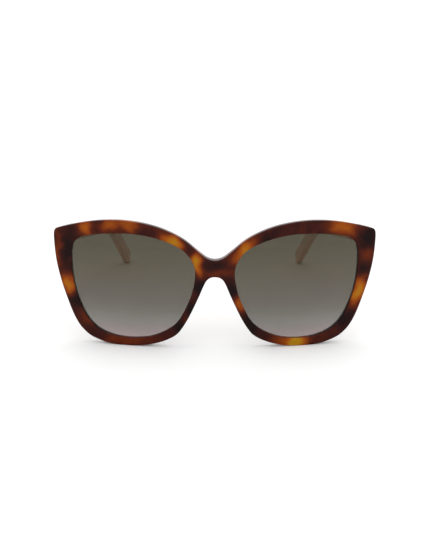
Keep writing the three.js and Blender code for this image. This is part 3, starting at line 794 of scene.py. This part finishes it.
def tortoiseshell():
    n = Nodes("tortoiseshell_acetate")
    amount = n.add("ShaderNodeAttribute", attribute_name="amber").outputs["Fac"]
    broad = n.spread(n.noise(140, 2, 0.5, 0.7), -0.06, 0.06)
    fine = n.spread(n.noise(520, 3, 0.6, 0.4), -0.018, 0.018)
    amount = n.math("ADD", n.math("ADD", amount, broad), fine)
    colour = n.ramp(amount, SHELL_TONES)
    polish = n.spread(n.noise(2400, 4, 0.6), 0.07, 0.16)
    hairlines = n.noise(900, 2, 0.5, 2.0)
    ripple = n.math("ADD", n.noise(75, 2, 0.5), n.math("MULTIPLY", hairlines, 0.06))
    return n.principled({
        "Base Color": colour,
        "Roughness": polish,
        "Specular IOR Level": 0.09,
        "Normal": n.bump(ripple, 0.12, 0.0004),
    })


def champagne():
    n = Nodes("champagne_acetate")
    cloud = n.noise(60, 3, 0.55, 0.5)
    colour = n.mix(n.spread(cloud, 0, 1), linear(231, 190, 154), linear(224, 178, 138))
    wire_share = n.add("ShaderNodeAttribute", attribute_name="wire").outputs["Fac"]
    wire_edge = n.math("MULTIPLY", wire_share, n.spread(n.noise(500, 2), 0.5, 0.75))
    colour = n.mix(wire_edge, colour, linear(196, 142, 84))
    polish = n.spread(n.noise(2200, 4, 0.6), 0.1, 0.2)
    return n.principled({
        "Base Color": colour,
        "Roughness": polish,
        "Specular IOR Level": 0.45,
        "Subsurface Weight": 0.25,
        "Subsurface Radius": (0.6, 0.4, 0.25),
        "Subsurface Scale": 0.002,
        "Coat Weight": 0.2,
        "Coat Roughness": 0.05,
        "Normal": n.bump(n.noise(80, 2), 0.1, 0.0004),
    })


OPENING_LOW = min(z for _, z in OPENING_POINTS)
OPENING_HIGH = max(z for _, z in OPENING_POINTS)
LENS_SHEEN = 0.017  # how much a lens reflects, seen straight on
# The tint up a lens, as a share of the opening's height and a colour.
LENS_TINTS = [
    (0.0, (0.65, 0.595, 0.59, 1)),
    (0.06, (0.57, 0.53, 0.525, 1)),
    (0.11, (0.515, 0.49, 0.48, 1)),
    (0.17, (0.47, 0.46, 0.445, 1)),
    (0.285, (0.395, 0.383, 0.36, 1)),
    (0.4, (0.358, 0.34, 0.312, 1)),
    (0.65, (0.32, 0.302, 0.26, 1)),
    (1.0, (0.265, 0.248, 0.2, 1)),
]


def tinted_lens():
    n = Nodes("lens_tint")
    height = n.add("ShaderNodeSeparateXYZ", {"Vector": n.object_coords}).outputs["Z"]
    inputs = {"Value": height, "From Min": OPENING_LOW * MM, "From Max": OPENING_HIGH * MM}
    share = n.add("ShaderNodeMapRange", inputs).outputs[0]
    drift = n.spread(n.noise(35, 2), -0.015, 0.015)
    tint = n.ramp(n.math("ADD", share, drift), LENS_TINTS)
    clear = n.add("ShaderNodeBsdfTransparent", {"Color": tint})
    smudge = n.spread(n.noise(130, 4, 0.65, 0.8), 0.015, 0.045)
    wave = n.bump(n.noise(20, 1), 0.05, 0.0005)
    gloss = n.add("ShaderNodeBsdfGlossy", {"Color": (1, 1, 1, 1), "Roughness": smudge, "Normal": wave})
    turned = n.add("ShaderNodeLayerWeight", {"Blend": 0.5}).outputs["Facing"]
    sheen = n.math("MULTIPLY_ADD", n.math("POWER", turned, 5.0), 1 - LENS_SHEEN, LENS_SHEEN)
    mixed = n.add("ShaderNodeMixShader", {0: sheen, 1: clear.outputs[0], 2: gloss.outputs[0]})
    return n.finish(mixed.outputs[0])


def lens_edge():
    """The ground bevel round a lens, which scatters the light that comes through it."""
    n = Nodes("lens_edge")
    grind = n.noise(1800, 3, 0.6)
    colour = n.mix(n.spread(grind, 0, 1), linear(226, 220, 206), linear(206, 200, 186))
    return n.principled({"Base Color": colour, "Roughness": n.spread(grind, 0.6, 0.8),
                         "Specular IOR Level": 0.2, "Normal": n.bump(grind, 0.2, 0.00003)})


def gold(name, tone=(212, 170, 104), grain=(1, 1, 1)):
    n = Nodes(name)
    stretched = n.add("ShaderNodeMapping", {"Vector": n.object_coords, "Scale": grain}).outputs[0]
    cloud = n.noise(260, 3, 0.6, 0.3)
    darker = tuple(c * 0.82 for c in tone)
    colour = n.mix(n.spread(cloud, 0, 1), linear(*tone), linear(*darker))
    brushed = n.noise(1500, 3, 0.6, 0, stretched)
    return n.principled({
        "Base Color": colour,
        "Metallic": 1.0,
        "Roughness": n.spread(brushed, 0.2, 0.36),
        "Normal": n.bump(brushed, 0.15, 0.00005),
    })


# ---- the tortoiseshell's patches ----

# Each patch is x, z, half width, half height, turn in degrees and amount, on the front seen from -Y.
# A positive amount is amber, a negative one is dark.
PATCHES = [
    # right half: the corner, the brow, the nose and back up the side
    (-70.6, 43.5, 1.7, 8.5, 0, 0.26), (-65.8, 44.5, 2.6, 9.0, 0, -0.16),
    (-58.2, 53.6, 3.4, 3.6, 0, 0.52), (-47.0, 56.6, 4.4, 3.4, 0, 0.4),
    (-38.0, 56.4, 5.0, 3.2, 0, 0.42), (-19.0, 49.2, 6.4, 3.1, -35, 0.62),
    (-13.2, 46.6, 2.6, 2.6, 0, -0.1), (-8.0, 39.6, 2.3, 5.8, 12, 0.66),
    (-6.2, 29.8, 3.0, 4.6, 0, -0.24), (-10.4, 19.0, 3.4, 7.0, -26, -0.14),
    (-12.8, 13.6, 1.7, 2.8, -30, 0.18), (-65.4, 27.4, 3.8, 5.0, 12, 0.58),
    (-63.0, 20.8, 3.2, 3.0, 20, -0.2), (-57.4, 13.0, 2.8, 5.0, 35, 0.16),
    (-40.0, 2.5, 9.5, 3.0, 0, 0.25), (-24.0, 3.4, 6.0, 3.0, -15, 0.1),
    (-16.2, 9.8, 3.8, 3.8, -40, -0.18),
    # bridge
    (0.0, 39.4, 4.6, 2.2, 0, -0.1), (2.5, 35.3, 7.0, 1.8, 0, 0.16),
    # left half
    (13.4, 45.4, 7.0, 3.2, 45, 0.64), (22.8, 51.0, 5.8, 2.8, 25, -0.14),
    (34.5, 54.0, 6.0, 3.0, 0, 0.06), (57.0, 54.6, 7.4, 4.0, -12, 0.5),
    (68.6, 49.0, 4.2, 5.2, 0, -0.22), (68.8, 41.4, 3.4, 3.0, 0, 0.22),
    (67.2, 35.0, 3.4, 2.8, 0, -0.16), (65.0, 24.8, 3.6, 7.8, -14, 0.6),
    (59.0, 11.6, 4.4, 5.0, -35, -0.2), (49.5, 4.2, 5.4, 3.0, 15, 0.1),
    (36.6, 2.0, 5.8, 3.8, 0, 0.9), (27.4, 3.2, 4.0, 3.0, -15, 0.22),
    (15.6, 10.6, 3.0, 5.4, 27, -0.2), (11.0, 21.0, 2.6, 4.2, 27, 0.46),
    (7.6, 28.2, 2.6, 3.8, 20, -0.2),
]
PATCH_BASE = 0.27
PATCH_EDGE = 1.35  # how sharply a patch ends
PATCH_SWAY = 0.55  # how far a patch's edge wanders, in mm
DEPTH_CLOUDING = 0.1


def amber_amount(points):
    """How amber the acetate is at points in the row frame, from 0 to about 1, before its clouding."""
    x, z = points[:, 0] / MM, points[:, 2] / MM
    y = points[:, 1] / MM - SHIFT_Y
    sway_x = PATCH_SWAY * (np.sin(z / 1.7 + x / 3.1) + np.sin(z / 0.8 - x / 1.9) / 2)
    sway_z = PATCH_SWAY * (np.sin(x / 2.3 - z / 3.7) + np.sin(x / 1.1 + z / 1.3) / 2)
    total = np.full(len(points), PATCH_BASE)
    for px, pz, half_width, half_height, turn, amount in PATCHES:
        angle = math.radians(turn)
        dx, dz = x + sway_x - px, z + sway_z - pz
        along = (dx * math.cos(angle) + dz * math.sin(angle)) / half_width
        across = (dz * math.cos(angle) - dx * math.sin(angle)) / half_height
        total += amount * np.exp(-((along**2 + across**2) ** PATCH_EDGE))
    depth = y - curve_y(x, z)
    total += DEPTH_CLOUDING * np.sin(x / 5.3 + z / 7.1 + depth / 2.3) * smoothstep(depth, 1.5, 5)
    return total


def set_attribute(made, name, values):
    attribute = made.data.attributes.new(name, "FLOAT", "POINT")
    attribute.data.foreach_set("value", np.asarray(values, np.float32))


def vertices_of(made):
    co = np.zeros(len(made.data.vertices) * 3, np.float32)
    made.data.vertices.foreach_get("co", co)
    return co.reshape(-1, 3).astype(float)


WIRE_SAMPLES = 120
WIRE_SHOWS = (0.5, 2.2)  # the wire shows fully within the first and not past the second, in its radii


def mark_wire(made, mirror):
    """Marks how near each point of a temple's faces is to the wire inside it."""
    points = vertices_of(made) / MM
    points[:, 0] *= -1 if mirror else 1
    stations = np.linspace(BUTT_Y, WIRE_END_Y, WIRE_SAMPLES)
    line = np.array([wire_point(y, 0, 0) for y in stations])
    ups = np.array([temple_frame(y)[3] for y in stations])
    at = np.round((points[:, 1] - SHIFT_Y - stations[0]) / (stations[1] - stations[0]))
    at = np.clip(at, 0, WIRE_SAMPLES - 1).astype(int)
    gap = points - (0, SHIFT_Y, 0) - line[at]
    height = np.abs(np.sum(gap * ups[at], axis=1))
    past_end = points[:, 1] - SHIFT_Y > WIRE_END_Y
    share = 1 - smoothstep(height, WIRE_RADIUS * WIRE_SHOWS[0], WIRE_RADIUS * WIRE_SHOWS[1])
    set_attribute(made, "wire", np.where(past_end, 0, share))


# ---- the object ----

TORTOISESHELL, CHAMPAGNE = tortoiseshell(), champagne()
LENS_TINT, LENS_EDGE = tinted_lens(), lens_edge()
HINGE_GOLD = gold("hinge_gold", grain=(1, 1, 6))
PIN_GOLD = gold("pin_gold", (206, 166, 104))
WIRE_GOLD = gold("wire_gold", (200, 168, 112), (1, 0.1, 1))


def add_piece(made, node, body, slot, *materials):
    made.data.materials.clear()
    for material in materials:
        made.data.materials.append(material)
    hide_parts(node)
    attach(made, body)
    return made


shell = add_piece(front(), "front_frame", "front", "front_acetate", TORTOISESHELL)
set_attribute(shell, "amber", amber_amount(vertices_of(shell)))

for side, mirror in (("left", False), ("right", True)):
    arm = f"{side}_temple_arm"
    glass = lens(f"{side}_lens_tinted", mirror)
    add_piece(glass, f"{side}_lens", "front", "lens_tint", LENS_TINT, LENS_EDGE)
    pad = nose_pad(f"{side}_pad", mirror)
    add_piece(pad, f"{side}_nose_pad", "front", "front_acetate", TORTOISESHELL)
    set_attribute(pad, "amber", amber_amount(vertices_of(pad)))
    hinge = front_hinge(f"{side}_rim_hinge", mirror)
    add_piece(hinge, f"{side}_front_hinge", "front", "hinge_metal", HINGE_GOLD)
    hinge = temple_hinge(f"{side}_arm_hinge", mirror)
    add_piece(hinge, f"{side}_temple_hinge", arm, "hinge_metal", HINGE_GOLD)
    screw = hinge_screw(f"{side}_screw", mirror)
    add_piece(screw, f"{side}_hinge_screw", "front", "hinge_metal", HINGE_GOLD)
    for i, z in enumerate(FRONT_PIN_HEIGHTS, 1):
        pin = front_pin(f"{side}_rim_pin_{i}", z, mirror)
        add_piece(pin, f"{side}_front_pin_{i}", "front", "pin_metal", PIN_GOLD)
    for i, y in enumerate(TEMPLE_PIN_Y, 1):
        pin = temple_pin(f"{side}_arm_pin_{i}", y, mirror)
        add_piece(pin, f"{side}_temple_pin_{i}", arm, "pin_metal", PIN_GOLD)
    bar = add_piece(temple(f"{side}_arm", mirror), f"{side}_temple", arm, "temple_acetate", CHAMPAGNE)
    mark_wire(bar, mirror)
    core = shade(wire(f"{side}_wire", WIRE_RADIUS, BUTT_Y + BUTT_GAP + WIRE_SETBACK, WIRE_END_Y, mirror))
    add_piece(core, f"{side}_temple_core_wire", arm, "core_wire", WIRE_GOLD)


# ---- stage ----

FLOOR_REACH = 9000
WORLD_STRENGTH = 1.3
LIGHT_PLACE, LIGHT_AIM, LIGHT_SIZE, LIGHT_POWER = (0, 0, 0.9), (0, -0.05, 0), (0.5, 0.4), 1.3


def make_floor():
    n = Nodes("pale_floor")
    colour = n.mix(n.spread(n.noise(3, 2), 0, 1), (0.812, 0.812, 0.812, 1), (0.808, 0.808, 0.808, 1))
    material = n.principled({"Base Color": colour, "Roughness": 0.7, "Specular IOR Level": 0.1})
    corners = [(x * FLOOR_REACH, y * FLOOR_REACH, 0) for x, y in ((-1, -1), (1, -1), (1, 1), (-1, 1))]
    floor = new_object("floor", corners, [(0, 1, 2, 3)])
    floor.data.materials.append(material)


def make_light():
    data = bpy.data.lights.new("overhead", "AREA")
    data.shape = "RECTANGLE"
    data.size, data.size_y = LIGHT_SIZE
    data.energy = LIGHT_POWER
    light = bpy.data.objects.new("overhead", data)
    light.location = LIGHT_PLACE
    light.rotation_euler = (Vector(LIGHT_AIM) - Vector(LIGHT_PLACE)).to_track_quat("-Z", "Y").to_euler()
    bpy.context.scene.collection.objects.link(light)


def make_world():
    world = bpy.data.worlds.new("studio")
    world.use_nodes = True
    background = world.node_tree.nodes["Background"]
    background.inputs["Color"].default_value = (1, 1, 1, 1)
    background.inputs["Strength"].default_value = WORLD_STRENGTH
    bpy.context.scene.world = world


make_floor()
make_world()
make_light()
bpy.context.scene.view_settings.view_transform = "Standard"
